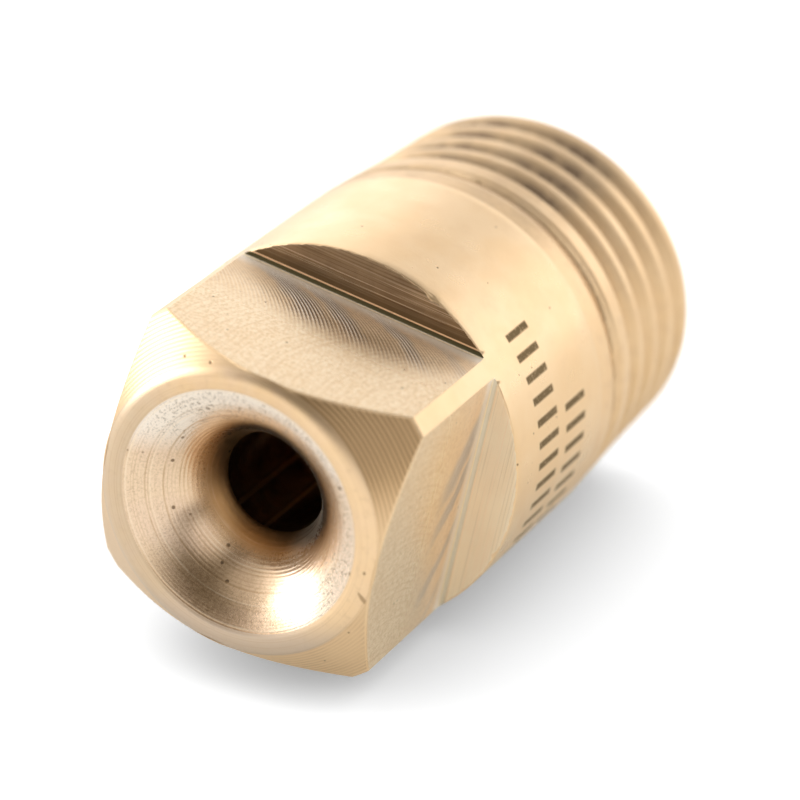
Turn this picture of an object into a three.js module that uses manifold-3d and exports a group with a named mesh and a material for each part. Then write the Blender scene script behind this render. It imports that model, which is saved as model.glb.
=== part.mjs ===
// Full-cone spray nozzle, brass, turned from round bar, with a loose swirl vane inside.
// Millimetres. The spray leaves towards -Y, the pipe thread is at +Y, and the nozzle lies on
// its side with +Z up. The origin is on the axis, half way along the nozzle.

import * as THREE from 'three';
import { mergeVertices } from 'three/addons/utils/BufferGeometryUtils.js';
import Module from 'manifold-3d';

const wasm = await Module();
wasm.setup();

const INCH = 25.4;
const ROUND_SEGMENTS = 60;
const ARC_DIVISIONS = 8;

// Body, measured from the front of the rim
const LENGTH = INCH * 7 / 8;
const BAR_RADIUS = 7.0;
const CONE_ANGLE = THREE.MathUtils.degToRad(50);
const LIP_ARC = 0.8;
// The bell mouth is an arc that meets the throat at a crease.
const BELL_ARC = 4.1;
const BELL_CENTRE_RADIUS = 5.77;
const BELL_CENTRE_DEPTH = 3.93;
const THROAT_RADIUS = 1.85;

// Wrench flats
const FLAT_COUNT = 4;
const ACROSS_FLATS = 10.4;
const SHOULDER = 6.9;
const SHOULDER_FILLET = 0.15;
const FIRST_FLAT_ROLL = THREE.MathUtils.degToRad(12.6);

// 1/4 inch taper pipe thread, 18 threads per inch, 1 in 16 on the diameter
const PITCH = INCH / 18;
const TAPER = 1 / 32;
const CREST_RADIUS_AT_END = 6.64;
const THREAD_DEPTH = 0.74;
const CREST_FLAT = 0.48;
const ROOT_FLAT = 0.08;
const BLANK_START = 14.35;
const BLANK_BLEND = 18.2;
const END_CHAMFER = 0.3;
const THREAD_LAST_ROOT = 16.7;
const THREAD_VANISH = 13.7;
const THREAD_PHASE = 0.375;
const STEPS_PER_TURN = 30;
// The groove's sloping sides run on past the crest line by this share of its depth.
const FLANK_OVERRUN = 0.1;

// Passage behind the throat
const THROAT_END = 7.0;
const CHAMBER_RADIUS = 3.8;
const CHAMBER_START = 9.0;
const SEAT = 12.0;
const INLET_RADIUS = 4.5;
const INLET_CHAMFER = 0.3;

// Swirl vane
const VANE_CLEARANCE = 0.05;
const VANE_RADIUS = INLET_RADIUS - VANE_CLEARANCE;
const VANE_LENGTH = 7.0;
const BLADE_THICKNESS = 1.1;
const BLADE_TILT = THREE.MathUtils.degToRad(40);
const BLADE_OVERLAP = 1.3;

// Cutting blocks stand this far past the material
const SPARE = 1.5;

function toSolid(geometry) {
  const bare = geometry.clone();
  bare.deleteAttribute('normal');
  bare.deleteAttribute('uv');
  const merged = mergeVertices(bare);
  return new wasm.Manifold(new wasm.Mesh({
    numProp: 3,
    vertProperties: new Float32Array(merged.attributes.position.array),
    triVerts: new Uint32Array(merged.index.array),
  }));
}

function toGeometry(solid) {
  const mesh = solid.getMesh();
  const geometry = new THREE.BufferGeometry();
  geometry.setAttribute('position', new THREE.BufferAttribute(mesh.vertProperties, 3));
  geometry.setIndex(new THREE.BufferAttribute(mesh.triVerts, 1));
  geometry.computeVertexNormals();
  return geometry;
}

// Radius of the thread's crests at a distance from the front rim.
function crestRadius(along) {
  return CREST_RADIUS_AT_END + (LENGTH - along) * TAPER;
}

// Half section of the turned blank: rim lip, front cone, bar, thread blank, then the passage
// back to the throat and out through the bell mouth. x is the radius, y the distance from the rim.
function bodyProfile() {
  const bellCentre = new THREE.Vector2(BELL_CENTRE_RADIUS, BELL_CENTRE_DEPTH);
  const throatToBell = Math.PI + Math.acos((BELL_CENTRE_RADIUS - THROAT_RADIUS) / BELL_ARC);
  const centreRise = BELL_CENTRE_DEPTH - LIP_ARC;
  const centreGap = Math.sqrt((BELL_ARC - LIP_ARC) ** 2 - centreRise ** 2);
  const lipCentre = new THREE.Vector2(bellCentre.x - centreGap, LIP_ARC);
  const bellToLip = Math.PI + Math.atan2(centreRise, centreGap);
  const lipToCone = 2 * Math.PI - CONE_ANGLE;
  const coneStart = LIP_ARC - LIP_ARC * Math.sin(CONE_ANGLE);
  const coneInner = lipCentre.x + LIP_ARC * Math.cos(CONE_ANGLE);
  const coneEnd = coneStart + (BAR_RADIUS - coneInner) / Math.tan(CONE_ANGLE);
  const chamferStart = LENGTH - END_CHAMFER;

  const path = new THREE.Path();
  path.absarc(lipCentre.x, lipCentre.y, LIP_ARC, bellToLip, lipToCone, false);
  path.lineTo(BAR_RADIUS, coneEnd);
  path.lineTo(BAR_RADIUS, BLANK_START);
  path.lineTo(crestRadius(BLANK_BLEND), BLANK_BLEND);
  path.lineTo(crestRadius(chamferStart), chamferStart);
  path.lineTo(crestRadius(chamferStart) - END_CHAMFER, LENGTH);
  path.lineTo(INLET_RADIUS + INLET_CHAMFER, LENGTH);
  path.lineTo(INLET_RADIUS, LENGTH - INLET_CHAMFER);
  path.lineTo(INLET_RADIUS, SEAT);
  path.lineTo(CHAMBER_RADIUS, SEAT);
  path.lineTo(CHAMBER_RADIUS, CHAMBER_START);
  path.lineTo(THROAT_RADIUS, THROAT_END);
  path.absarc(bellCentre.x, bellCentre.y, BELL_ARC, throatToBell, bellToLip, false);
  return path.getPoints(ARC_DIVISIONS);
}

// Block that mills one flat: the bar's front part above the flat, with a rounded inner corner.
function flatCutter(turn) {
  const flat = ACROSS_FLATS / 2;
  const top = BAR_RADIUS + SPARE;
  const outline = new THREE.Shape();
  outline.moveTo(-SPARE, flat);
  outline.lineTo(SHOULDER - SHOULDER_FILLET, flat);
  outline.absarc(SHOULDER - SHOULDER_FILLET, flat + SHOULDER_FILLET, SHOULDER_FILLET, -Math.PI / 2, 0, false);
  outline.lineTo(SHOULDER, top);
  outline.lineTo(-SPARE, top);
  const block = new THREE.ExtrudeGeometry(outline, {
    depth: 2 * top,
    bevelEnabled: false,
    curveSegments: ARC_DIVISIONS / 2,
  });
  // The outline's x runs along the nozzle and its y outwards; the block spans the chord.
  block.translate(0, 0, -top);
  block.applyMatrix4(new THREE.Matrix4().makeBasis(
    new THREE.Vector3(0, 1, 0),
    new THREE.Vector3(0, 0, 1),
    new THREE.Vector3(1, 0, 0),
  ));
  block.rotateY(turn);
  return block;
}

// Right-hand helix along the thread's crest line, which climbs out of the bar at its front end.
class ThreadPath extends THREE.Curve {
  getPoint(t, target = new THREE.Vector3()) {
    const along = THREE.MathUtils.lerp(THREAD_VANISH, LENGTH + PITCH, t);
    const angle = 2 * Math.PI * (along / PITCH + THREAD_PHASE);
    const vanish = Math.max(0, THREAD_LAST_ROOT - along) / (THREAD_LAST_ROOT - THREAD_VANISH);
    const radius = crestRadius(along) + vanish * (THREAD_DEPTH + BAR_RADIUS - CREST_RADIUS_AT_END);
    return target.set(radius * Math.sin(angle), along, radius * Math.cos(angle));
  }

  // Frames that stay square to the nozzle's axis, so the groove never leans.
  computeFrenetFrames(segments) {
    const normals = [];
    const binormals = [];
    const tangents = [];
    for (let i = 0; i <= segments; i += 1) {
      const outward = this.getPointAt(i / segments).setY(0).normalize();
      const forward = new THREE.Vector3(0, -1, 0);
      normals.push(outward);
      binormals.push(forward);
      tangents.push(new THREE.Vector3().crossVectors(outward, forward));
    }
    return { tangents, normals, binormals };
  }
}

function threadCutter() {
  const path = new ThreadPath();
  const turns = (LENGTH + PITCH - THREAD_VANISH) / PITCH;
  const crest = (PITCH - CREST_FLAT) / 2;
  const root = ROOT_FLAT / 2;
  const rise = THREAD_DEPTH * FLANK_OVERRUN;
  const wide = crest + (crest - root) * FLANK_OVERRUN;
  const groove = new THREE.Shape([
    new THREE.Vector2(-THREAD_DEPTH, -root),
    new THREE.Vector2(rise, -wide),
    new THREE.Vector2(SPARE, -wide),
    new THREE.Vector2(SPARE, wide),
    new THREE.Vector2(rise, wide),
    new THREE.Vector2(-THREAD_DEPTH, root),
  ]);
  return new THREE.ExtrudeGeometry(groove, {
    steps: Math.ceil(turns * STEPS_PER_TURN),
    bevelEnabled: false,
    extrudePath: path,
  });
}

function bodyGeometry() {
  let solid = toSolid(new THREE.LatheGeometry(bodyProfile(), ROUND_SEGMENTS));
  solid = solid.subtract(toSolid(threadCutter()));
  for (let i = 0; i < FLAT_COUNT; i += 1) {
    const turn = FIRST_FLAT_ROLL + i * 2 * Math.PI / FLAT_COUNT;
    solid = solid.subtract(toSolid(flatCutter(turn)));
  }
  return toGeometry(solid);
}

// Half blade reaching out to one side, tilted to the flow. It runs past the centre line, so the
// two halves cross there like an X.
function halfBlade(side) {
  const reach = VANE_RADIUS + SPARE;
  const blade = new THREE.BoxGeometry(reach + BLADE_OVERLAP, 2 * VANE_LENGTH, BLADE_THICKNESS);
  blade.translate(side * (reach - BLADE_OVERLAP) / 2, 0, 0);
  blade.rotateX(side * BLADE_TILT);
  return blade;
}

function vaneGeometry() {
  const envelope = new THREE.LatheGeometry([
    new THREE.Vector2(0, -VANE_LENGTH / 2),
    new THREE.Vector2(VANE_RADIUS, -VANE_LENGTH / 2),
    new THREE.Vector2(VANE_RADIUS, VANE_LENGTH / 2),
    new THREE.Vector2(0, VANE_LENGTH / 2),
  ], ROUND_SEGMENTS);
  const blades = toSolid(halfBlade(1)).add(toSolid(halfBlade(-1)));
  return toGeometry(blades.intersect(toSolid(envelope)));
}

function turnedBrass() {
  return new THREE.MeshStandardMaterial({
    name: 'turned_brass',
    color: 0xd9b483,
    metalness: 0.9,
    roughness: 0.35,
  });
}

function vaneBrass() {
  return new THREE.MeshStandardMaterial({
    name: 'vane_brass',
    color: 0xb98d55,
    metalness: 0.9,
    roughness: 0.45,
  });
}

function nozzleBody() {
  const body = new THREE.Mesh(bodyGeometry(), turnedBrass());
  body.name = 'nozzle_body';
  return body;
}

function swirlVane() {
  const vane = new THREE.Mesh(vaneGeometry(), vaneBrass());
  vane.name = 'swirl_vane';
  vane.position.y = SEAT + VANE_CLEARANCE + VANE_LENGTH / 2;
  return vane;
}

const nozzle = new THREE.Group();
nozzle.position.y = -LENGTH / 2;
nozzle.add(nozzleBody(), swirlVane());

export default nozzle;
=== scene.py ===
import math

import bmesh
import bpy
import numpy as np
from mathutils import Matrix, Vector


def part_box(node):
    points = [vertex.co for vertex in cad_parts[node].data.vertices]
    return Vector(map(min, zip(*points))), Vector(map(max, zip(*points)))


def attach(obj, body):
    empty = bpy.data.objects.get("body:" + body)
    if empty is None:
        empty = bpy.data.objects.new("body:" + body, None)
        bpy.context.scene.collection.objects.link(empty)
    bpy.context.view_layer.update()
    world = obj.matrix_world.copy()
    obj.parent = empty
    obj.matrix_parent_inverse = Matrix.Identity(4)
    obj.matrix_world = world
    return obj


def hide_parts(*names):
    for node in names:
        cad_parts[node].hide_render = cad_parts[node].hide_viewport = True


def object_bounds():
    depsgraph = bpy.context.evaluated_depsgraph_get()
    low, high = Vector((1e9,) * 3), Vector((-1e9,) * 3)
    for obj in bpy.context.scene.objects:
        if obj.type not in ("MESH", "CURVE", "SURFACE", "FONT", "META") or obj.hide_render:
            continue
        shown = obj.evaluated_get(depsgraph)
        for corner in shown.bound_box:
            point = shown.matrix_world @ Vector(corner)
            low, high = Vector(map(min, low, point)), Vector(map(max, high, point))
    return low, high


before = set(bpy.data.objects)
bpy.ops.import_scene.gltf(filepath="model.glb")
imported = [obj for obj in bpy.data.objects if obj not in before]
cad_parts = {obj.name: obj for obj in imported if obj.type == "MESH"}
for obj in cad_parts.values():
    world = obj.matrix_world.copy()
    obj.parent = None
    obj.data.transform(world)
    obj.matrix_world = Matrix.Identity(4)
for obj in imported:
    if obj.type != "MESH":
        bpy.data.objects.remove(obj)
cad_low, cad_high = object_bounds()

# ---------------------------------------------------------------------------
# Sizes in millimetres. Places along the nozzle count back from the front of the rim
# ---------------------------------------------------------------------------
MM = 0.001
BODY_LOW, BODY_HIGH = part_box("nozzle_body")
LENGTH = (BODY_HIGH.y - BODY_LOW.y) / MM
BAR = BODY_HIGH.x / MM
FRONT = BODY_LOW.y / MM

CONE_ANGLE = math.radians(50)
LIP_ARC = 0.8
BELL_ARC = 4.1
BELL_CENTRE_RADIUS = 5.77
BELL_CENTRE_DEPTH = 3.93
THROAT = 1.85
FLAT_COUNT = 4
FLAT_TURN = 360 // FLAT_COUNT
FLAT = 5.2
SHOULDER = 6.9
SHOULDER_FILLET = 0.15
FLAT_ROLL = math.radians(12.6)
PITCH = 25.4 / 18
TAPER = 1 / 32
CREST_AT_END = 6.64
THREAD_DEPTH = 0.74
CREST_FLAT = 0.48
BLANK_START = 14.35
BLANK_BLEND = 18.2
END_CHAMFER = 0.3
LAST_ROOT = 16.7
VANISH = 13.7
THREAD_PHASE = 0.375
THROAT_END = 7.0
CHAMBER = 3.8
CHAMBER_START = 9.0
SEAT = 12.0
INLET = 4.5
INLET_CHAMFER = 0.3

# The first turn's shallow front side: where it starts and how steep it is, and the last groove
# centre that has it, with the length over which it fades out
RELIEF_START = 14.38
RELIEF_SLOPE = math.tan(math.radians(19))
RELIEF_LAST = 15.85
RELIEF_FADE = 0.4

# Looks only: how much each edge is broken
NOSE_EDGE = 0.05
THROAT_EDGE = 0.03
WALL_EDGE = 0.05
CORNER_BLEND = 0.012
CREST_BLEND = 0.12
TURNED_BLEND = 0.02
# Small chips in the shoulder's outer edge: angle and width in degrees, and depth
CHIPS = [
    (26.5, 0.7, 0.05),
    (32.3, 1.1, 0.16),
    (118.0, 1.0, 0.10),
    (205.0, 1.2, 0.12),
    (301.0, 0.9, 0.08),
]
# The shoulder's edge is worn unevenly by this share, in two slow waves round the nozzle
WEAR_SHARE = 0.45
WEAR_WAVES = (1.7, 0.61)
WEAR_PHASE = 1.0
# The groove's bottom is worn round: its depth and the half width of its rounding
GROOVE_DEPTH = 0.56
GROOVE_ROUND = 0.24

# The mesh: lengthwise lines on one flat's middle, the band in degrees at its sides where they
# stand closer together, and their places there
FLAT_COLUMNS = 73
SIDE_BAND = 1.6
SIDE_COLUMNS = (0.08, 0.2, 0.4, 0.7, 1.1)
# How many rows run round the nozzle in each stretch
ROWS = {
    "lip": 15, "cone": 29, "nose edge": 4, "flat": 39, "fillet": 8, "wall": 13, "bar": 21,
    "thread": 214, "end chamfer": 5, "end face": 7, "bell": 72,
}
SHOULDER_BREAK = (0.33, 0.67, 1.0)
BAR_END_GAP = 0.1
WELD = 2e-7
SHORTEST_EDGE = 1e-7

ZONES = ["lip", "cone", "edge", "flat", "fillet", "wall", "bar", "thread",
         "inlet", "chamber", "throat", "bell"]
FLAT_ZONES = [ZONES.index(zone) for zone in ("flat", "fillet", "wall")]


def smooth_min(a, b, k):
    """The lesser of a and b, rounded over where they are within k of each other."""
    h = np.clip(0.5 + 0.5 * (b - a) / k, 0, 1)
    return b + (a - b) * h - k * h * (1 - h)


def column_angles():
    """Angles of the mesh's lengthwise lines, and each line's angle from its flat's middle.
    0 is up and a quarter turn is +X."""
    half = math.degrees(math.acos(FLAT / BAR))
    edge = FLAT_TURN / 2
    local = list(np.linspace(-half + SIDE_BAND, half - SIDE_BAND, FLAT_COLUMNS))
    for side in (-1, 1):
        local += [side * half + side * gap for gap in SIDE_COLUMNS]
        local += [side * half - side * gap for gap in SIDE_COLUMNS]
        local += [side * half]
    local = [a for a in local if -edge < a <= edge] + [edge]
    local = sorted(set(round(a, 6) for a in local))
    turn = [math.degrees(FLAT_ROLL) + FLAT_TURN * k + a for k in range(FLAT_COUNT) for a in local]
    return np.radians(turn), np.radians(local * FLAT_COUNT)


def crest(s):
    """Radius of the thread's crests at s."""
    return CREST_AT_END + (LENGTH - s) * TAPER


def blank(s):
    """Radius of the turned bar before its thread is cut."""
    share = np.clip((s - BLANK_START) / (BLANK_BLEND - BLANK_START), 0, 1)
    blend = BAR + (crest(BLANK_BLEND) - BAR) * share
    return smooth_min(np.where(s < BLANK_BLEND, blend, crest(s)), BAR, TURNED_BLEND)


def threaded(s, angle):
    """Radius at s of the threaded end, with its groove running round to the right."""
    u = s / PITCH - angle / (2 * math.pi) + THREAD_PHASE
    centre = s - (u - np.round(u)) * PITCH
    x = np.abs(s - centre)
    vanish = np.clip((LAST_ROOT - s) / (LAST_ROOT - VANISH), 0, None)
    root = crest(s) - GROOVE_DEPTH + vanish * (THREAD_DEPTH + BAR - CREST_AT_END)
    half = (PITCH - CREST_FLAT) / 2
    away = np.hypot(x, GROOVE_ROUND) - GROOVE_ROUND
    dip = root + away * GROOVE_DEPTH / (math.hypot(half, GROOVE_ROUND) - GROOVE_ROUND)
    radius = smooth_min(blank(s), dip, CREST_BLEND)
    # The first turn has a long, shallow front side, where the tool came in
    in_first = (s < centre) * (centre > RELIEF_START)
    share = np.clip((RELIEF_LAST - centre) / RELIEF_FADE, 0, 1) * in_first
    relief = BAR - share * RELIEF_SLOPE * np.maximum(s - RELIEF_START, 0)
    return smooth_min(radius, relief, TURNED_BLEND)


def arc(cx, cy, radius, start, stop, count):
    a = np.linspace(start, stop, count)
    return cx + radius * np.cos(a), cy + radius * np.sin(a)


def steps(count):
    """Even shares of a stretch, leaving out its start."""
    return np.linspace(0, 1, count + 1)[1:]


def front_rows(side, bell_to_lip, lip_centre):
    """Lip, and the cone out to where the flat or the bar cuts it. Also where that edge is."""
    lip_to_cone = 2 * math.pi - CONE_ANGLE
    lip_r, lip_s = arc(lip_centre, LIP_ARC, LIP_ARC, bell_to_lip, lip_to_cone, ROWS["lip"])
    rows = [(s, r, "lip") for s, r in zip(lip_s, lip_r)]
    s0, r0 = lip_s[-1], lip_r[-1]
    slope = math.tan(CONE_ANGLE)
    s_edge = s0 + (side - r0) / slope
    for t in steps(ROWS["cone"]):
        s = s0 + (s_edge - NOSE_EDGE - s0) * t
        rows.append((s, r0 + (s - s0) * slope, "cone"))
    for t in steps(ROWS["nose edge"]):
        a, b = (1 - t) ** 2, 2 * t * (1 - t)
        s = a * (s_edge - NOSE_EDGE) + b * s_edge + t * t * (s_edge + NOSE_EDGE)
        r = a * (side - NOSE_EDGE * slope) + b * side + t * t * side
        rows.append((s, r, "edge"))
    return rows, s_edge


def flat_rows(side, s_edge, angle, local):
    """Flat, its fillet, the shoulder's wall and the bar up to the thread."""
    rows = []
    fillet_start = SHOULDER - SHOULDER_FILLET
    for t in steps(ROWS["flat"]):
        s = s_edge + NOSE_EDGE + (fillet_start - s_edge - NOSE_EDGE) * t
        rows.append((s, side, "flat"))
    for t in steps(ROWS["fillet"]) * (math.pi / 2):
        s = fillet_start + SHOULDER_FILLET * math.sin(t)
        h = FLAT + SHOULDER_FILLET * (1 - math.cos(t))
        rows.append((s, np.minimum(np.maximum(h / np.cos(local), side), BAR), "fillet"))
    low = np.minimum(np.maximum((FLAT + SHOULDER_FILLET) / np.cos(local), side), BAR)
    around = np.degrees(angle)
    first, second = WEAR_WAVES
    wave = WEAR_SHARE * np.sin(around * first) * np.sin(around * second + WEAR_PHASE)
    worn = WALL_EDGE * (1 + wave)
    for middle, width, size in CHIPS:
        worn = worn + size * np.exp(-((around - middle) / width) ** 2)
    edge = np.minimum(worn, 0.5 * (BAR - low))
    for t in steps(ROWS["wall"]):
        rows.append((SHOULDER, low + (BAR - edge - low) * t, "wall"))
    for t in SHOULDER_BREAK:
        s = SHOULDER + edge * (1 - math.cos(t * math.pi / 2))
        rows.append((s, BAR - edge * (1 - math.sin(t * math.pi / 2)), "edge"))
    start = SHOULDER + edge
    for t in steps(ROWS["bar"]):
        rows.append((start + (VANISH - BAR_END_GAP - start) * t, BAR, "bar"))
    return rows


def end_rows(angle):
    """Thread, the chamfer at its end and the end face."""
    rows = []
    end = LENGTH - END_CHAMFER
    n = len(angle)
    for s in np.linspace(VANISH - BAR_END_GAP, end, ROWS["thread"] + 1)[1:]:
        rows.append((s, threaded(np.full(n, s), angle), "thread"))
    for t in steps(ROWS["end chamfer"]):
        s = end + END_CHAMFER * t
        chamfer = crest(end) - END_CHAMFER * t
        rows.append((s, np.minimum(threaded(np.full(n, s), angle), chamfer), "thread"))
    outer = rows[-1][1]
    for t in steps(ROWS["end face"]):
        rows.append((LENGTH, outer + (INLET + INLET_CHAMFER - outer) * t, "inlet"))
    return rows


def passage_rows(bell_to_lip):
    """From the inlet back to the throat, and out through the bell mouth."""
    crease = math.acos((BELL_CENTRE_RADIUS - THROAT) / BELL_ARC)
    throat_start = BELL_CENTRE_DEPTH - BELL_ARC * math.sin(crease)
    corners = [
        (LENGTH - INLET_CHAMFER, INLET, 4, "inlet"),
        (SEAT, INLET, 24, "inlet"),
        (SEAT, CHAMBER, 5, "chamber"),
        (CHAMBER_START, CHAMBER, 8, "chamber"),
        (THROAT_END, THROAT, 10, "chamber"),
        (throat_start + THROAT_EDGE, THROAT, 14, "throat"),
    ]
    rows = []
    s_now, r_now = LENGTH, INLET + INLET_CHAMFER
    for s, r, count, zone in corners:
        for t in steps(count):
            rows.append((s_now + (s - s_now) * t, r_now + (r - r_now) * t, zone))
        s_now, r_now = s, r
    bell_r, bell_s = arc(BELL_CENTRE_RADIUS, BELL_CENTRE_DEPTH, BELL_ARC,
                         math.pi + crease, bell_to_lip, ROWS["bell"])
    rows += [(s, r, "bell") for s, r in zip(bell_s[1:-1], bell_r[1:-1])]
    return rows


def body_grid(angle, local):
    """Rows that run round the nozzle: s and r at each lengthwise line, and each row's zone."""
    side = smooth_min(FLAT / np.cos(local), BAR, CORNER_BLEND)
    centre_rise = BELL_CENTRE_DEPTH - LIP_ARC
    centre_gap = math.sqrt((BELL_ARC - LIP_ARC) ** 2 - centre_rise ** 2)
    bell_to_lip = math.pi + math.atan2(centre_rise, centre_gap)
    rows, s_edge = front_rows(side, bell_to_lip, BELL_CENTRE_RADIUS - centre_gap)
    rows += flat_rows(side, s_edge, angle, local)
    rows += end_rows(angle)
    rows += passage_rows(bell_to_lip)
    n = len(angle)
    s = np.array([np.broadcast_to(row[0], n).astype(float) for row in rows])
    r = np.array([np.broadcast_to(row[1], n).astype(float) for row in rows])
    return s, r, [row[2] for row in rows]


def build_body():
    angle, local = column_angles()
    s, r, zones = body_grid(angle, local)
    m, n = s.shape
    places = np.stack([r * np.sin(angle), s + FRONT, r * np.cos(angle)], -1) * MM
    i, j = np.meshgrid(np.arange(m), np.arange(n), indexing="ij")
    i2, j2 = (i + 1) % m, (j + 1) % n
    corner_i = np.stack([i, i2, i2, i], -1).reshape(-1, 4)
    corner_j = np.stack([j, j, j2, j2], -1).reshape(-1, 4)
    mesh = bpy.data.meshes.new("nozzle_surface")
    mesh.from_pydata(places.reshape(-1, 3).tolist(), [], (corner_i * n + corner_j).tolist())
    # A face takes the zone of the row it runs to. The narrow strips beside a flat are the bar's
    zone_row = np.array([ZONES.index(zones[(a + 1) % m]) for a in range(m)])
    zone = zone_row[i.reshape(-1)]
    beside = np.abs(local) > math.acos(FLAT / BAR)
    beside = beside[j.reshape(-1)] & beside[j2.reshape(-1)]
    # Face corner coordinates in millimetres: round the nozzle or across the flat, and along it
    past_start = (corner_j == 0) & (j.reshape(-1, 1) > 0)
    u_round = (angle * BAR)[corner_j] + 2 * math.pi * BAR * past_start
    u_flat = (r * np.sin(local))[corner_i, corner_j]
    u = np.where(np.isin(zone, FLAT_ZONES)[:, None], u_flat, u_round)
    uv = np.stack([u, s[corner_i, corner_j]], -1)
    layer = mesh.uv_layers.new(name="mm")
    layer.data.foreach_set("uv", uv.reshape(-1).astype(np.float32))
    zone[beside & np.isin(zone, FLAT_ZONES)] = ZONES.index("bar")
    mesh.polygons.foreach_set("material_index", zone.astype(np.int32))
    mesh.update()
    bm = bmesh.new()
    bm.from_mesh(mesh)
    bmesh.ops.remove_doubles(bm, verts=bm.verts, dist=WELD)
    bmesh.ops.dissolve_degenerate(bm, edges=bm.edges, dist=SHORTEST_EDGE)
    bmesh.ops.recalc_face_normals(bm, faces=bm.faces)
    bm.to_mesh(mesh)
    bm.free()
    mesh.polygons.foreach_set("use_smooth", [True] * len(mesh.polygons))
    body = bpy.data.objects.new("nozzle_surface", mesh)
    bpy.context.scene.collection.objects.link(body)
    return body


# ---------------------------------------------------------------------------
# Materials. Lengths in them are millimetres
# ---------------------------------------------------------------------------
class Nodes:
    """Short names for building one material's node tree."""

    def __init__(self, name):
        self.material = bpy.data.materials.new(name)
        self.material.use_nodes = True
        self.tree = self.material.node_tree
        self.tree.nodes.clear()
        out = self.add("ShaderNodeOutputMaterial")
        self.shader = self.add("ShaderNodeBsdfPrincipled")
        self.link(self.shader.outputs[0], out.inputs[0])

    def add(self, kind, **settings):
        node = self.tree.nodes.new(kind)
        for key, value in settings.items():
            setattr(node, key, value)
        return node

    def link(self, a, b):
        self.tree.links.new(a, b)

    def put(self, socket, value):
        if hasattr(value, "links"):
            self.link(value, socket)
        else:
            socket.default_value = value

    def maths(self, operation, a, b=0.0, c=0.0, clamp=False):
        node = self.add("ShaderNodeMath", operation=operation, use_clamp=clamp)
        for socket, value in zip(node.inputs, (a, b, c)):
            self.put(socket, value)
        return node.outputs[0]

    def plus(self, a, b):
        return self.maths("ADD", a, b)

    def minus(self, a, b):
        return self.maths("SUBTRACT", a, b)

    def times(self, a, b):
        return self.maths("MULTIPLY", a, b)

    def times_plus(self, a, b, c):
        return self.maths("MULTIPLY_ADD", a, b, c)

    def most(self, a, b):
        return self.maths("MAXIMUM", a, b)

    def gap(self, a, b):
        """How far a is from b, either way."""
        return self.maths("ABSOLUTE", self.minus(a, b))

    def root(self, a):
        return self.maths("SQRT", a)

    def place(self):
        """Along X, along the nozzle from the rim and along Z, and then all three as a vector."""
        parts = self.add("ShaderNodeSeparateXYZ")
        self.link(self.add("ShaderNodeTexCoord").outputs["Object"], parts.inputs[0])
        x = self.times(parts.outputs[0], 1 / MM)
        y = self.times_plus(parts.outputs[1], 1 / MM, -FRONT)
        z = self.times(parts.outputs[2], 1 / MM)
        return x, y, z, self.vector(x, y, z)

    def radius(self, x, z):
        return self.root(self.plus(self.times(x, x), self.times(z, z)))

    def uv(self):
        """Round the nozzle or across the flat, and along the nozzle."""
        parts = self.add("ShaderNodeSeparateXYZ")
        self.link(self.add("ShaderNodeUVMap", uv_map="mm").outputs[0], parts.inputs[0])
        return parts.outputs[0], parts.outputs[1]

    def vector(self, x, y, z=0.0):
        node = self.add("ShaderNodeCombineXYZ")
        for socket, value in zip(node.inputs, (x, y, z)):
            self.put(socket, value)
        return node.outputs[0]

    def noise(self, at, scale, detail=3.0, rough=0.55):
        node = self.add("ShaderNodeTexNoise")
        self.link(at, node.inputs["Vector"])
        node.inputs["Scale"].default_value = scale
        node.inputs["Detail"].default_value = detail
        node.inputs["Roughness"].default_value = rough
        return node.outputs[0]

    def spots(self, at, scale, radius):
        """1 inside small round spots scattered over the surface, 0 outside. Also each cell's
        random colour."""
        node = self.add("ShaderNodeTexVoronoi", feature="F1")
        self.link(at, node.inputs["Vector"])
        node.inputs["Scale"].default_value = scale
        return self.fade_out(node.outputs["Distance"], radius * 0.5, radius), node.outputs["Color"]

    def ramp(self, value, start, end, at_start, at_end):
        """Goes smoothly from at_start to at_end as the value goes from start to end."""
        node = self.add("ShaderNodeMapRange", interpolation_type="SMOOTHSTEP")
        self.put(node.inputs["Value"], value)
        for key, number in (("From Min", start), ("From Max", end),
                            ("To Min", at_start), ("To Max", at_end)):
            self.put(node.inputs[key], number)
        return node.outputs[0]

    def fade_in(self, value, start, full, to=1.0):
        return self.ramp(value, start, full, 0.0, to)

    def fade_out(self, value, full, end):
        return self.ramp(value, full, end, 1.0, 0.0)

    def mix(self, factor, a, b):
        node = self.add("ShaderNodeMix", data_type="RGBA")
        self.put(node.inputs[0], factor)
        for socket, value in ((node.inputs[6], a), (node.inputs[7], b)):
            self.put(socket, (*value, 1.0) if isinstance(value, tuple) else value)
        return node.outputs[2]

    def finish(self, colour, rough, metallic):
        inputs = self.shader.inputs
        self.put(inputs["Base Color"], colour)
        self.put(inputs["Roughness"], rough)
        self.put(inputs["Metallic"], metallic)
        return self.material

    def finish_brass(self, colour, rough, height, depth, metallic=1.0):
        """Height runs from 0 to 1, and depth is what 1 stands for."""
        bump = self.add("ShaderNodeBump")
        self.link(height, bump.inputs["Height"])
        bump.inputs["Distance"].default_value = depth * MM
        bump.inputs["Strength"].default_value = 1.0
        self.link(bump.outputs[0], self.shader.inputs["Normal"])
        # The floor sees plain grey metal, so that its shadow stays neutral
        seen = self.add("ShaderNodeLightPath").outputs["Is Diffuse Ray"]
        return self.finish(self.mix(seen, colour, GREY_TO_FLOOR), rough, metallic)


BRASS = (0.87, 0.625, 0.372)
BRASS_PALE = (0.90, 0.68, 0.44)
BRASS_PINK = (0.86, 0.635, 0.455)
BRASS_TAN = (0.77, 0.545, 0.335)
BRASS_BROWN = (0.50, 0.33, 0.18)
BRASS_DARK = (0.30, 0.19, 0.10)
GREY_TO_FLOOR = (0.07, 0.07, 0.07)
PIT = (0.13, 0.075, 0.035)
MARK = (0.17, 0.115, 0.05)
# Painted shade for the thread's grooves
GROOVE_SHADE = (0.20, 0.13, 0.075)

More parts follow.
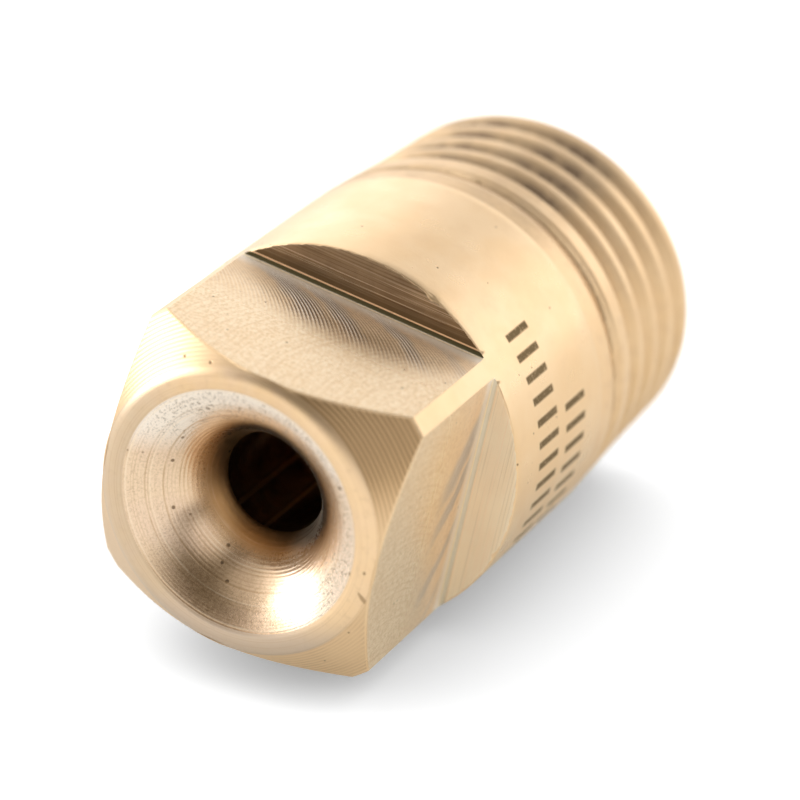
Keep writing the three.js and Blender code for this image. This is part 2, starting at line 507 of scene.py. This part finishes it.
CONE_BRASS = (0.80, 0.575, 0.35)
CONE_CREST = (0.95, 0.74, 0.48)
CONE_SHADE = (0.42, 0.26, 0.13)
CONE_SHADE_CREST = (0.72, 0.48, 0.25)

MILLED_PALE = (0.98, 0.85, 0.64)
MILLED_SWEEP = (0.93, 0.80, 0.68)
MILLED_CREST = (0.99, 0.93, 0.86)
# Painted highlight at the foot of the shoulder
MILLED_FOOT_HIGHLIGHT = (0.98, 0.90, 0.80)
# Painted dark reflection at the start of each sweep on the flats
SWEEP_SHADE = (0.43, 0.35, 0.28)

WALL_BROWN = (0.47, 0.34, 0.225)
WALL_DARK = (0.36, 0.26, 0.175)
WALL_SHADE = (0.15, 0.10, 0.05)
WALL_DULL = (0.17, 0.11, 0.06)
WALL_STREAK = (0.97, 0.80, 0.62)
# Painted dark reflection at the foot of the shoulder
WALL_FOOT_DARK_REFLECTION = (0.13, 0.11, 0.055)
WALL_COPPER = (0.98, 0.70, 0.46)
# Painted highlight at the start of the shoulder's foot
WALL_FOOT_HIGHLIGHT = (0.97, 0.84, 0.64)
# Painted light on the right shoulder
RIGHT_WALL_LIT_PALE = (0.99, 0.88, 0.70)
RIGHT_WALL_LIT_TAN = (0.98, 0.84, 0.65)

# Painted light on the lip's right, painted shade at its foot and on its left
LIP_RIGHT_LIGHT = (0.97, 0.72, 0.46)
LIP_FOOT_SHADE = (0.56, 0.47, 0.40)
LIP_LEFT_SHADE = (0.56, 0.48, 0.40)

# Painted light above and on the throat's right, painted shade round the throat
BELL_LIT_PALE = (0.99, 0.93, 0.86)
BELL_THROAT_SHADE = (0.45, 0.27, 0.11)
BELL_THROAT_LIGHT = (0.99, 0.90, 0.78)
BELL_CREST = (0.98, 0.82, 0.62)
BELL_SPECKLE = (0.20, 0.14, 0.09)

# Painted shade in the passage
BORE_SHADE_BROWN = (0.26, 0.15, 0.07)
BORE_SHADE_DARK = (0.12, 0.07, 0.03)

# Distance between turning marks, and between milling marks on the flats
TURNING = 0.105
FEED = 0.173
# Radius of the cutter that milled the flats
CUTTER = 5.6
# Where each sweep of painted dark reflection starts on a flat, its half width and its strength
SWEEPS = [(-4.8, 1.1, 1.0), (-3.2, 0.75, 0.95), (-0.7, 0.6, 0.7), (1.3, 0.5, 0.25)]
# The rows of plain bars: where they start and end round the nozzle, and their middle along it
MARK_ROWS = [(6.50, 17.2, 9.38), (9.95, 17.2, 11.5)]
MARK_SPACING = 0.80
MARK_CENTRE = 0.22
# The nick on the lip: its place across, its lean, its height and its half widths
NICK_PLACE = 3.78
NICK_LEAN = 0.42
NICK_HEIGHT = 2.13
NICK_WIDE = 0.07
NICK_LONG = 0.30
# Painted highlights: pale streaks along the passage, their angles round it in degrees
BORE_STREAK_HIGHLIGHTS = (-128.0, -166.0)


def slow(n, at, base, tint, amount, scale, low=0.38, high=0.66):
    """Slow colour change over the surface, as handled brass has."""
    cloud = n.noise(at, scale, detail=4.0, rough=0.6)
    return n.mix(n.times(n.fade_in(cloud, low, high), amount), base, tint)


def grooves(n, across, pitch, wander, at, even=0.45):
    """Parallel tool marks: an even ripple mixed with a fine one-way noise. 0 to 1."""
    drift = n.noise(at, 0.8, detail=2.0, rough=0.5)
    phase = n.times_plus(drift, wander, n.times(across, 2 * math.pi / pitch))
    ripple = n.times_plus(n.maths("SINE", phase), 0.5, 0.5)
    line = n.noise(n.vector(across, 0.0, 0.0), 0.55 / pitch, detail=3.0, rough=0.7)
    return n.plus(n.times(ripple, even), n.times(line, 1 - even))


def pitted(n, at, colour, density, size, share, cover=0.8):
    """Small dark pits in about the given share of the cells. Gives the colour and the pits."""
    spot, cell = n.spots(at, density, size * density)
    pick = n.add("ShaderNodeSeparateColor")
    n.link(cell, pick.inputs[0])
    mask = n.times(spot, n.fade_out(pick.outputs[0], full=share - 0.02, end=share + 0.02))
    return n.mix(n.times(mask, cover), colour, PIT), mask


def blend(n, a, b, share):
    """Two heights added, with the given share of the first."""
    return n.plus(n.times(a, share), n.times(b, 1 - share))


def marks(n, u, v):
    """Rows of plain dark bars, where the object carries its printed mark."""
    total = None
    for first, last, middle in MARK_ROWS:
        cell = n.maths("FRACT", n.maths("DIVIDE", n.minus(u, first), MARK_SPACING))
        bar = n.fade_out(n.times(n.gap(cell, MARK_CENTRE), MARK_SPACING), full=0.09, end=0.18)
        tall = n.fade_out(n.gap(v, middle), full=0.70, end=0.80)
        inside = n.times(n.fade_in(u, first - 0.02, first), n.fade_out(u, last, last + 0.02))
        mark = n.times(n.times(bar, tall), inside)
        total = mark if total is None else n.most(total, mark)
    return total


def bar_material():
    n = Nodes("bar_brass")
    _, y, _, at = n.place()
    u, v = n.uv()
    colour = slow(n, at, BRASS, BRASS_PALE, amount=0.7, scale=0.35)
    colour = slow(n, at, colour, BRASS_TAN, amount=0.22, scale=1.3, low=0.5, high=0.75)
    colour, pits = pitted(n, at, colour, density=1.6, size=0.055, share=0.30)
    worn = n.noise(at, 7.0, detail=3.0, rough=0.7)
    worn = n.ramp(worn, start=0.25, end=0.50, at_start=0.60, at_end=0.95)
    mark = n.times(marks(n, u, v), worn)
    colour = n.mix(mark, colour, MARK)
    fine = n.noise(at, 9.0, detail=4.0, rough=0.7)
    lines = n.noise(n.vector(y, n.times(u, 0.02), 0.0), 7.0, detail=3.0, rough=0.6)
    height = n.minus(blend(n, lines, fine, share=0.35), n.times(pits, 0.5))
    cloud = n.noise(at, 0.9, detail=3.0)
    rough = n.ramp(cloud, start=0.3, end=0.7, at_start=0.27, at_end=0.36)
    return n.finish_brass(colour, n.times_plus(mark, 0.25, rough), height, depth=0.006)


def cone_material():
    n = Nodes("cone_brass")
    x, _, z, at = n.place()
    r = n.radius(x, z)
    colour = slow(n, at, CONE_BRASS, BRASS_TAN, amount=0.6, scale=0.5)
    lines = grooves(n, r, TURNING * 1.15, wander=1.2, at=at, even=0.5)
    cloud = n.noise(at, 0.5, detail=3.0, rough=0.6)
    patchy = n.ramp(cloud, start=0.40, end=0.58, at_start=0.25, at_end=1.0)
    valleys = n.fade_in(lines, start=0.55, full=0.30, to=0.30)
    colour = n.mix(n.times(valleys, patchy), colour, BRASS_BROWN)
    crests = n.fade_in(lines, start=0.60, full=0.75, to=0.30)
    colour = n.mix(n.times(crests, patchy), colour, CONE_CREST)
    # Painted shade: the upper right is browner, with stronger lines
    upper_right = n.times(n.fade_in(z, start=0.3, full=2.5), n.fade_in(x, start=0.5, full=2.5))
    shade = n.mix(n.fade_in(lines, start=0.35, full=0.65), CONE_SHADE, CONE_SHADE_CREST)
    colour = n.mix(n.times(upper_right, 0.75), colour, shade)
    colour, pits = pitted(n, at, colour, density=1.8, size=0.075, share=0.32)
    return n.finish_brass(colour, 0.30, n.minus(lines, pits), depth=0.009)


def flat_material():
    n = Nodes("milled_brass")
    _, _, _, at = n.place()
    u, v = n.uv()
    colour = slow(n, at, BRASS_PALE, BRASS, amount=0.7, scale=0.6)
    colour = slow(n, at, colour, BRASS_TAN, amount=0.30, scale=3.2, low=0.5, high=0.72)
    # Each mark is part of the cutter's circle, which touches the shoulder as it goes by
    depth = n.minus(SHOULDER, v)
    rim = n.root(n.most(n.times(depth, n.minus(2 * CUTTER, depth)), 0.0))
    place = n.minus(u, rim)
    ahead = grooves(n, place, FEED, wander=1.2, at=at, even=0.6)
    behind = grooves(n, n.plus(u, rim), FEED * 1.6, wander=2.0, at=at, even=0.3)
    near = n.fade_in(depth, start=3.3, full=1.4)
    outer = n.minus(1.0, near)
    # The marks lie in separate sweeps, each with a painted dark reflection at its start
    sweep_shade = None
    for start, width, amount in SWEEPS:
        drifted = n.times_plus(n.noise(at, 0.9, detail=2.0), 0.9, place)
        one = n.fade_in(n.gap(drifted, start), start=width, full=width * 0.15, to=amount)
        sweep_shade = one if sweep_shade is None else n.most(sweep_shade, one)
    beside_foot = n.times(n.fade_in(depth, start=2.7, full=1.3),
                          n.fade_in(depth, start=0.2, full=0.45))
    sweep_shade = n.times(sweep_shade, beside_foot)
    in_sweep = n.maths("MULTIPLY_ADD", sweep_shade, 0.75, 0.30, clamp=True)
    strong = n.times(n.times_plus(near, 0.85, 0.15), in_sweep)
    crossing = n.times(behind, n.times_plus(near, 0.14, 0.10))
    lines = n.plus(n.times(ahead, strong), crossing)
    grain = n.noise(at, 6.5, detail=4.0, rough=0.75)
    colour, pits = pitted(n, at, colour, density=2.2, size=0.05, share=0.16)
    height = n.minus(n.plus(lines, n.times(grain, 0.07)), n.times(pits, 0.8))
    colour = n.mix(n.fade_in(grain, start=0.52, full=0.38, to=0.28), colour, BRASS_BROWN)
    worn = n.ramp(grain, start=0.44, end=0.60, at_start=0.15, at_end=0.55)
    colour = n.mix(n.times(worn, outer), colour, MILLED_PALE)
    colour = n.mix(n.times(strong, 0.55), colour, MILLED_SWEEP)
    faint = n.fade_in(behind, start=0.46, full=0.30, to=0.35)
    colour = n.mix(n.times(faint, outer), colour, BRASS_TAN)
    # Painted dark reflection in the sweeps
    colour = n.mix(n.times(sweep_shade, 0.86), colour, SWEEP_SHADE)
    valleys = n.fade_in(ahead, start=0.50, full=0.25, to=0.40)
    colour = n.mix(n.times(valleys, strong), colour, BRASS_BROWN)
    crests = n.fade_in(ahead, start=0.60, full=0.78, to=0.8)
    colour = n.mix(n.times(crests, strong), colour, MILLED_CREST)
    # A painted highlight: a pale line, made rougher, at the foot of the shoulder
    foot_highlight = n.fade_in(depth, start=SHOULDER_FILLET + 0.60, full=SHOULDER_FILLET + 0.05, to=0.9)
    colour = n.mix(foot_highlight, colour, MILLED_FOOT_HIGHLIGHT)
    # Duller beside the shoulder, so that the wall doesn't darken it by reflection
    dull = n.fade_in(depth, start=2.0, full=0.9, to=0.26)
    rough = n.plus(n.times_plus(foot_highlight, 0.10, dull), n.times_plus(near, 0.07, 0.27))
    return n.finish_brass(colour, rough, height, depth=0.024)


def wall_material():
    n = Nodes("shoulder_brass")
    x, _, z, at = n.place()
    r = n.radius(x, z)
    u, _ = n.uv()
    up = n.root(n.most(n.minus(n.times(r, r), n.times(u, u)), 0.0))
    rise = n.minus(up, FLAT)
    lines = n.noise(n.vector(n.times(u, 0.006), up, 0.0), 15.0, detail=3.0, rough=0.7)
    # Painted light: the right shoulder is paler than the others, and less grooved
    toward = n.minus(n.times(x, math.cos(FLAT_ROLL)), n.times(z, math.sin(FLAT_ROLL)))
    right = n.fade_in(toward, start=4.8, full=5.1)
    not_right = n.times_plus(right, -0.7, 1.0)
    colour = slow(n, at, WALL_BROWN, WALL_DARK, amount=0.8, scale=0.8)
    colour = n.mix(n.fade_in(rise, start=1.0, full=0.25, to=0.85), colour, WALL_SHADE)
    pale = slow(n, at, RIGHT_WALL_LIT_PALE, RIGHT_WALL_LIT_TAN, amount=0.7, scale=0.6)
    colour = n.mix(right, colour, pale)
    middle = n.times(n.fade_in(rise, start=0.35, full=0.7), n.fade_in(rise, start=1.5, full=1.1))
    streak = n.times(n.fade_in(lines, start=0.52, full=0.62, to=0.8), middle)
    colour = n.mix(streak, colour, WALL_STREAK)
    dull = n.times(n.fade_in(lines, start=0.47, full=0.36, to=0.55), not_right)
    colour = n.mix(dull, colour, WALL_DULL)
    # The foot: a painted highlight at its start, then a painted dark reflection, and a bright
    # copper line above it
    dip = n.times(n.fade_in(rise, start=0.010, full=0.035),
                     n.fade_in(rise, start=0.17, full=0.14))
    colour = n.mix(n.times(dip, not_right), colour, WALL_FOOT_DARK_REFLECTION)
    copper = n.times(n.fade_in(rise, start=0.15, full=0.17),
                     n.fade_in(rise, start=0.23, full=0.21))
    colour = n.mix(n.times(copper, n.times_plus(right, -0.8, 1.0)), colour, WALL_COPPER)
    foot_highlight = n.fade_in(rise, start=0.035, full=0.010)
    colour = n.mix(foot_highlight, colour, WALL_FOOT_HIGHLIGHT)
    bright = n.most(n.most(foot_highlight, copper), n.times(right, 0.7))
    return n.finish_brass(colour, n.times_plus(bright, 0.2, 0.36), lines, depth=0.010)


def lip_material():
    n = Nodes("lip_brass")
    x, _, z, at = n.place()
    r = n.radius(x, z)
    colour = slow(n, at, BRASS, BRASS_PINK, amount=0.6, scale=0.7)
    colour = slow(n, at, colour, BRASS_PALE, amount=0.5, scale=2.6)
    # Painted light and shade: more golden on the right, greyer at the foot and on the left
    colour = n.mix(n.fade_in(x, start=1.5, full=3.2, to=0.6), colour, LIP_RIGHT_LIGHT)
    colour = slow(n, at, colour, BRASS_BROWN, amount=0.22, scale=3.4, low=0.52, high=0.74)
    colour = n.mix(n.fade_in(z, start=-2.6, full=-4.6, to=0.75), colour, LIP_FOOT_SHADE)
    colour = n.mix(n.fade_in(x, start=-1.5, full=-4.0, to=0.50), colour, LIP_LEFT_SHADE)
    colour, pits = pitted(n, at, colour, density=1.3, size=0.085, share=0.28, cover=0.7)
    # One long nick on the right of the lip
    across = n.maths("DIVIDE", n.minus(n.times_plus(z, NICK_LEAN, x), NICK_PLACE), NICK_WIDE)
    along = n.maths("DIVIDE", n.plus(z, NICK_HEIGHT), NICK_LONG)
    off = n.plus(n.maths("POWER", across, 2), n.maths("POWER", along, 2))
    nick = n.times(n.fade_in(off, start=1.3, full=0.6), n.fade_in(x, start=3.0, full=3.5))
    colour = n.mix(n.times(nick, 0.65), colour, BRASS_DARK)
    lines = grooves(n, r, TURNING, wander=1.0, at=at, even=0.12)
    colour = n.mix(n.fade_in(lines, start=0.50, full=0.36, to=0.28), colour, BRASS_BROWN)
    fine = n.noise(at, 10.0, detail=4.0, rough=0.7)
    height = n.minus(blend(n, lines, fine, share=0.6), n.times(n.most(pits, nick), 2.0))
    return n.finish_brass(colour, 0.30, height, depth=0.007)


def bell_material():
    n = Nodes("bell_brass")
    x, _, z, at = n.place()
    r = n.radius(x, z)
    grain = n.noise(at, 9.0, detail=5.0, rough=0.8)
    colour = slow(n, at, BRASS_PINK, BRASS_PALE, amount=0.5, scale=0.6)
    colour = n.mix(n.fade_in(grain, start=0.56, full=0.38, to=0.35), colour, BRASS_BROWN)
    # Painted light and shade: paler above and at the sides, brown below and round the throat
    # except on the right
    beside = n.most(n.fade_in(x, start=-1.6, full=-3.4, to=0.2),
                    n.fade_in(x, start=1.4, full=2.8, to=0.5))
    pale = n.most(n.fade_in(z, start=0.8, full=2.6), beside)
    outside = n.fade_in(r, start=2.1, full=3.0, to=0.85)
    colour = n.mix(n.times(pale, outside), colour, BELL_LIT_PALE)
    low = n.times(n.fade_in(z, start=-1.6, full=-3.0), n.fade_in(x, start=1.1, full=-0.2))
    colour = n.mix(n.times(low, 0.40), colour, BRASS_BROWN)
    # Painted shade round the throat, except on the right
    deep = n.fade_in(r, start=2.75, full=1.95)
    right = n.fade_in(x, start=0.6, full=1.6)
    colour = n.mix(n.times(deep, n.times_plus(right, -0.85, 0.85)), colour, BELL_THROAT_SHADE)
    # Painted light on the throat's right side
    throat_right = n.times(n.fade_in(r, start=3.3, full=2.4), n.times(right, 0.8))
    colour = n.mix(throat_right, colour, BELL_THROAT_LIGHT)
    # Fine speckle just inside the lip, and larger pits all over
    ring = n.times(n.fade_in(r, start=2.7, full=3.4), n.fade_in(r, start=4.5, full=4.2))
    cloud = n.fade_in(n.noise(at, 1.1, detail=3.0, rough=0.6), start=0.28, full=0.50)
    specks = n.fade_in(n.noise(at, 13.0, detail=2.0, rough=0.6), start=0.55, full=0.62)
    upper = n.ramp(n.plus(x, z), start=-2.5, end=1.5, at_start=0.25, at_end=1.0)
    speckle = n.times(n.times(specks, ring), n.times(cloud, upper))
    colour = n.mix(n.times(speckle, 0.7), colour, BELL_SPECKLE)
    colour, pits = pitted(n, at, colour, density=2.4, size=0.09, share=0.18, cover=0.8)
    # Turning marks, stronger in some places than in others
    lines = grooves(n, r, TURNING, wander=2.5, at=at, even=0.12)
    uneven = n.noise(at, 0.7, detail=3.0, rough=0.6)
    uneven = n.ramp(uneven, start=0.35, end=0.65, at_start=0.35, at_end=1.0)
    valleys = n.fade_in(lines, start=0.50, full=0.36, to=0.65)
    colour = n.mix(n.times(valleys, uneven), colour, BRASS_BROWN)
    crests = n.fade_in(lines, start=0.55, full=0.66, to=0.6)
    colour = n.mix(n.times(crests, uneven), colour, BELL_CREST)
    join = n.times(n.fade_in(r, start=4.36, full=4.42), n.fade_in(r, start=4.52, full=4.46))
    colour = n.mix(n.times(join, 0.20), colour, BRASS_BROWN)
    height = n.plus(lines, n.times(grain, 0.25))
    height = n.minus(height, n.times(n.plus(speckle, pits), 0.25))
    rough = n.ramp(grain, start=0.35, end=0.65, at_start=0.17, at_end=0.25)
    return n.finish_brass(colour, n.times_plus(deep, 0.14, rough), height, depth=0.011)


def bore_material():
    n = Nodes("bore_brass")
    x, y, z, at = n.place()
    # Painted shade: dark brown in the narrow passage, lighter brass where it widens
    wide = n.fade_in(n.radius(x, z), start=2.0, full=3.5)
    colour = slow(n, at, BORE_SHADE_BROWN, BORE_SHADE_DARK, amount=0.7, scale=0.8)
    colour = n.mix(wide, colour, slow(n, at, BRASS_TAN, BRASS_BROWN, amount=0.6, scale=0.8))
    turn = n.maths("ARCTAN2", x, z)
    # Painted highlights, streaks along the passage
    for place in BORE_STREAK_HIGHLIGHTS:
        off = n.gap(turn, math.radians(place))
        colour = n.mix(n.fade_in(off, start=0.07, full=0.02, to=0.45), colour, BRASS_PALE)
    return n.finish_brass(colour, 0.30, grooves(n, y, 0.16, wander=1.5, at=at), depth=0.010)


def thread_material():
    n = Nodes("thread_brass")
    x, y, z, at = n.place()
    crest_line = n.times_plus(y, -TAPER, CREST_AT_END + LENGTH * TAPER)
    depth = n.minus(crest_line, n.radius(x, z))
    colour = slow(n, at, BRASS, BRASS_PALE, amount=0.5, scale=0.6)
    colour = slow(n, at, colour, BRASS_TAN, amount=0.5, scale=1.7, low=0.45, high=0.7)
    # Painted shade in the grooves on top, thinner just right of the top, with none on the right
    turn = n.maths("ARCTAN2", x, z)
    top = n.times(n.fade_in(turn, start=math.radians(47), full=math.radians(30)),
                  n.fade_in(turn, start=math.radians(-95), full=math.radians(-50)))
    off = n.gap(turn, math.radians(6))
    thin = n.ramp(off, start=math.radians(4), end=math.radians(13), at_start=0.65, at_end=1.0)
    cloud = n.noise(at, 1.1, detail=3.0, rough=0.6)
    cloud = n.ramp(cloud, start=0.35, end=0.60, at_start=0.60, at_end=1.0)
    groove_shade = n.times(n.times(top, thin), cloud)
    groove_shade = n.times(n.ramp(depth, start=0.03, end=0.22, at_start=0.34, at_end=1.0), groove_shade)
    colour = n.mix(groove_shade, colour, GROOVE_SHADE)
    lines = n.noise(n.vector(y, n.times(z, 0.04), n.times(x, 0.04)), 8.0, detail=4.0, rough=0.7)
    fine = n.noise(at, 8.0, detail=4.0, rough=0.7)
    height = blend(n, lines, fine, share=0.6)
    # The painted groove shade also takes away the metal's shine
    rough, metallic = n.times_plus(groove_shade, 0.15, 0.38), n.times_plus(groove_shade, -0.7, 1.0)
    return n.finish_brass(colour, rough, height, depth=0.012, metallic=metallic)


def vane_material():
    n = Nodes("vane_brass")
    _, _, _, at = n.place()
    colour = slow(n, at, BRASS_TAN, BRASS_BROWN, amount=0.6, scale=0.6)
    fine = n.noise(at, 6.0, detail=4.0, rough=0.7)
    colour, pits = pitted(n, at, colour, density=1.5, size=0.08, share=0.3)
    return n.finish_brass(colour, 0.36, n.minus(fine, pits), depth=0.02)


# ---------------------------------------------------------------------------
# Pieces
# ---------------------------------------------------------------------------
def dress_body(body):
    bar, wall, inlet = bar_material(), wall_material(), bore_material()
    materials = {
        "lip": lip_material(), "cone": cone_material(), "edge": bar, "flat": flat_material(),
        "fillet": wall, "wall": wall, "bar": bar, "thread": thread_material(),
        "inlet": inlet, "chamber": inlet, "throat": inlet, "bell": bell_material(),
    }
    for zone in ZONES:
        body.data.materials.append(materials[zone])


def dress_vane(vane):
    vane.data.materials.clear()
    vane.data.materials.append(vane_material())


# ---------------------------------------------------------------------------
# Floor, light and camera. The metal, the floor and the camera each see a different studio
# ---------------------------------------------------------------------------
# The studio as the metal sees it: azimuth and elevation of each soft bright area, the angles
# from its middle where it starts to fade and where it ends, and its strength
ROOM = (0.275, 0.252, 0.220)
BRIGHT_AREAS = [
    (35, 3, 12, 56, 1.18),
    (-45, 15, 10, 60, 0.78),
    (-75, 15, 25, 90, 0.33),
    (-90, -20, 25, 90, 0.37),
    (-120, 0, 5, 40, 0.64),
    (-105, 30, 5, 28, 0.60),
    (-117, 8, 13, 21, 3.00),
    (-90, 74, 6, 16, 2.00),
    (120, 0, 5, 40, 0.15),
    (120, 42, 5, 32, 0.60),
    (155, -6, 6, 30, 0.30),
    (165, -40, 10, 60, 0.62),
    (-150, 45, 0, 25, 0.29),
    (-178, 25, 8, 30, -0.11),
]
# The sky as the floor sees it, and the backdrop as the camera sees it
SKY = 1.35
BACKDROP = 1.0

# The floor is white to the camera, and dimmer and warmer to the metal
FLOOR_SIZE = 6.0
FLOOR_GAP = 0.00002
FLOOR_WHITE = (0.92, 0.92, 0.92)
FLOOR_CLOUDS = ((0.515, 0.515, 0.515), (0.525, 0.525, 0.525))
FLOOR_ROUGH = 0.9
FLOOR_LIFT = 0.20
FLOOR_GLOW = 0.26
FLOOR_WARMTH = (1.0, 0.88, 0.62)
WHITE = (1.0, 1.0, 1.0)

# The lamp only gives the shadow its side: its direction, distance, width and power
LAMP_AZIMUTH = -104
LAMP_ELEVATION = 48
LAMP_DISTANCE = 0.4
LAMP_WIDTH = 0.30
LAMP_POWER = 0.30

# The camera turns round the nozzle from -Y towards +X. Lengths in metres, the lens in millimetres
CAMERA_AZIMUTH = math.radians(27.36)
CAMERA_ELEVATION = math.radians(25.11)
CAMERA_DISTANCE = 0.14407
CAMERA_TARGET = (0.00036, -0.00001, -0.00038)
CAMERA_SENSOR = 36
CAMERA_LENS = 184.0
CAMERA_NEAREST = 0.001
CAMERA_FSTOP = 50
FOCUS = (0.001, -0.006, 0.004)


def make_floor():
    n = Nodes("pale_floor")
    at = n.add("ShaderNodeTexCoord").outputs["Object"]
    cloud = n.fade_in(n.noise(at, 4.0, detail=2.0), start=0.3, full=0.7)
    seen = n.add("ShaderNodeLightPath").outputs["Is Camera Ray"]
    colour = n.mix(seen, n.mix(cloud, *FLOOR_CLOUDS), FLOOR_WHITE)
    n.put(n.shader.inputs["Emission Color"], n.mix(seen, FLOOR_WARMTH, WHITE))
    lift = n.times_plus(seen, FLOOR_LIFT - FLOOR_GLOW, FLOOR_GLOW)
    n.put(n.shader.inputs["Emission Strength"], lift)
    n.shader.inputs["Specular IOR Level"].default_value = 0.0
    place = (0, 0, cad_low.z - FLOOR_GAP)
    bpy.ops.mesh.primitive_plane_add(size=FLOOR_SIZE, location=place)
    floor = bpy.context.object
    floor.name = "floor"
    floor.data.materials.append(n.finish(colour, FLOOR_ROUGH, metallic=0.0))


def heading(azimuth, elevation):
    """Unit vector at an azimuth from +Y towards +X and an elevation, in degrees."""
    a, e = math.radians(azimuth), math.radians(elevation)
    return Vector((math.sin(a) * math.cos(e), math.cos(a) * math.cos(e), math.sin(e)))


def make_world():
    world = bpy.data.worlds.new("studio")
    bpy.context.scene.world = world
    world.use_nodes = True
    tree = world.node_tree
    tree.nodes.clear()
    out = tree.nodes.new("ShaderNodeOutputWorld")
    back = tree.nodes.new("ShaderNodeBackground")
    direction = tree.nodes.new("ShaderNodeTexCoord").outputs["Generated"]
    total = tree.nodes.new("ShaderNodeRGB").outputs[0]
    total.default_value = (*ROOM, 1.0)
    for azimuth, elevation, full, zero, strength in BRIGHT_AREAS:
        dot = tree.nodes.new("ShaderNodeVectorMath")
        dot.operation = "DOT_PRODUCT"
        dot.inputs[1].default_value = heading(azimuth, elevation)
        tree.links.new(direction, dot.inputs[0])
        ramp = tree.nodes.new("ShaderNodeMapRange")
        ramp.interpolation_type = "SMOOTHSTEP"
        settings = {
            "From Min": math.cos(math.radians(zero)), "From Max": math.cos(math.radians(full)),
            "To Min": 0.0, "To Max": strength,
        }
        for key, value in settings.items():
            ramp.inputs[key].default_value = value
        tree.links.new(dot.outputs["Value"], ramp.inputs["Value"])
        add = tree.nodes.new("ShaderNodeVectorMath")
        add.operation = "ADD"
        tree.links.new(total, add.inputs[0])
        tree.links.new(ramp.outputs[0], add.inputs[1])
        total = add.outputs[0]
    # The floor is lit evenly, and the camera sees a plain white backdrop
    path = tree.nodes.new("ShaderNodeLightPath")
    for ray, value in (("Is Diffuse Ray", SKY), ("Is Camera Ray", BACKDROP)):
        pick = tree.nodes.new("ShaderNodeMix")
        pick.data_type = "RGBA"
        tree.links.new(path.outputs[ray], pick.inputs[0])
        tree.links.new(total, pick.inputs[6])
        pick.inputs[7].default_value = (value, value, value, 1.0)
        total = pick.outputs[2]
    tree.links.new(total, back.inputs["Color"])
    tree.links.new(back.outputs[0], out.inputs[0])


def make_lamp():
    light = bpy.data.lights.new("left_softbox", "AREA")
    light.energy = LAMP_POWER
    light.shape = "RECTANGLE"
    light.size = LAMP_WIDTH
    light.size_y = LAMP_WIDTH
    lamp = bpy.data.objects.new("left_softbox", light)
    bpy.context.scene.collection.objects.link(lamp)
    lamp.location = heading(LAMP_AZIMUTH, LAMP_ELEVATION) * LAMP_DISTANCE
    lamp.rotation_euler = lamp.location.to_track_quat("Z", "Y").to_euler()
    # The metal already sees this light as a bright area of the studio
    lamp.visible_glossy = False


def make_camera():
    level = math.cos(CAMERA_ELEVATION)
    back = Vector((math.sin(CAMERA_AZIMUTH) * level, -math.cos(CAMERA_AZIMUTH) * level,
                   math.sin(CAMERA_ELEVATION)))
    data = bpy.data.cameras.new("camera")
    data.sensor_width = CAMERA_SENSOR
    data.lens = CAMERA_LENS
    data.clip_start = CAMERA_NEAREST
    camera = bpy.data.objects.new("camera", data)
    bpy.context.scene.collection.objects.link(camera)
    camera.location = Vector(CAMERA_TARGET) + back * CAMERA_DISTANCE
    camera.rotation_euler = back.to_track_quat("Z", "Y").to_euler()
    focus = bpy.data.objects.new("focus", None)
    focus.location = FOCUS
    bpy.context.scene.collection.objects.link(focus)
    data.dof.use_dof = True
    data.dof.focus_object = focus
    data.dof.aperture_fstop = CAMERA_FSTOP
    bpy.context.scene.camera = camera


surface = build_body()
dress_body(surface)
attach(surface, "body")
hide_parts("nozzle_body")
dress_vane(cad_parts["swirl_vane"])

make_floor()
make_world()
make_lamp()
make_camera()
bpy.context.scene.view_settings.view_transform = "Standard"
bpy.context.scene.view_settings.look = "None"
